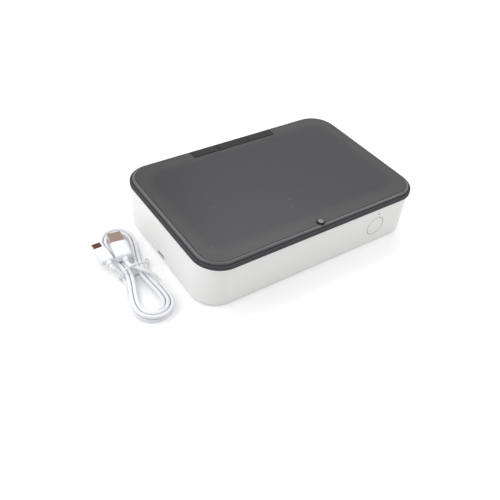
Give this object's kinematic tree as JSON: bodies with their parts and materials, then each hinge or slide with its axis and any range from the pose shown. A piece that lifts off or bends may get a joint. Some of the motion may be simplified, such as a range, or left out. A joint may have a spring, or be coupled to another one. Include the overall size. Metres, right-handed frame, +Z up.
{
  "type": "uv sanitizer box",
  "caption": "Low rounded box with a smoky hinged lid, lamp-lit ribbed tray, round front button, side charging socket and a tied charging lead beside it.",
  "frame": {"origin": "on the table, under the middle of the box", "axes": "+X along the long side to the right, +Z up; the front with its button faces -Y"},
  "size_m": [0.2801, 0.1482, 0.0484],
  "materials": {
    "shell_white": "fine satin moulding",
    "lid_smoky": "frosted smoky translucent moulding",
    "tray_grey": "satin",
    "hinge_grey": "satin",
    "stud_grey": "polished",
    "steel": "plain",
    "reflector_foil": "polished",
    "lamp_glass": "clear",
    "ceramic": "matt ceramic",
    "rubber_black": "matt",
    "board_green": "lacquered board",
    "black_part": "satin",
    "copper_wound": "lacquered copper",
    "lens_clear": "polished",
    "cord_white": "soft satin"
  },
  "bodies": {
    "housing": {"outer_shell": "shell_white", "bottom_cover": "shell_white", "inner_tray": "tray_grey", "rubber_foot_1": "rubber_black", "rubber_foot_2": "rubber_black", "rubber_foot_3": "rubber_black", "rubber_foot_4": "rubber_black", "cover_screw_1": "steel", "cover_screw_2": "steel", "cover_screw_3": "steel", "cover_screw_4": "steel", "reflector": "reflector_foil", "uv_lamp_tube": "lamp_glass", "lamp_cap_left": "steel", "lamp_cap_right": "steel", "lamp_holder_left": "ceramic", "lamp_holder_right": "ceramic", "hinge_block_left": "hinge_grey", "hinge_block_right": "hinge_grey", "hinge_pin": "steel", "lid_sensor": "lens_clear", "tact_switch": "black_part", "button_board": "board_green", "indicator_led": "lens_clear", "indicator_lens": "lens_clear", "main_board": "board_green", "usb_socket": "steel", "controller_chip": "black_part", "driver_board": "board_green", "driver_transformer": "copper_wound", "plug_c_mould": "cord_white", "plug_c_shell": "steel", "plug_a_mould": "cord_white", "plug_a_shell": "steel", "cord_hank": "cord_white", "cord_from_plug_c": "cord_white", "cord_from_plug_a": "cord_white", "cord_tie": "cord_white"},
    "lid": {"lid": "lid_smoky", "hinge_leaf": "hinge_grey", "leaf_screw_1": "steel", "leaf_screw_2": "steel", "lid_stud": "stud_grey", "lid_magnet": "steel"},
    "button": {"power_button": "shell_white", "switch_plunger": "black_part"}
  },
  "joints": [
    {"name": "lid_hinge", "type": "hinge", "parent": "housing", "child": "lid", "pos_m": [0, 0.07035, 0.0454], "axis": [-1, 0, 0], "range_deg": [0, 100]},
    {"name": "button_press", "type": "slide", "parent": "housing", "child": "button", "axis": [0, 1, 0], "range_m": [0, 0.0008], "stiffness_N_per_m": 2750}
  ]
}
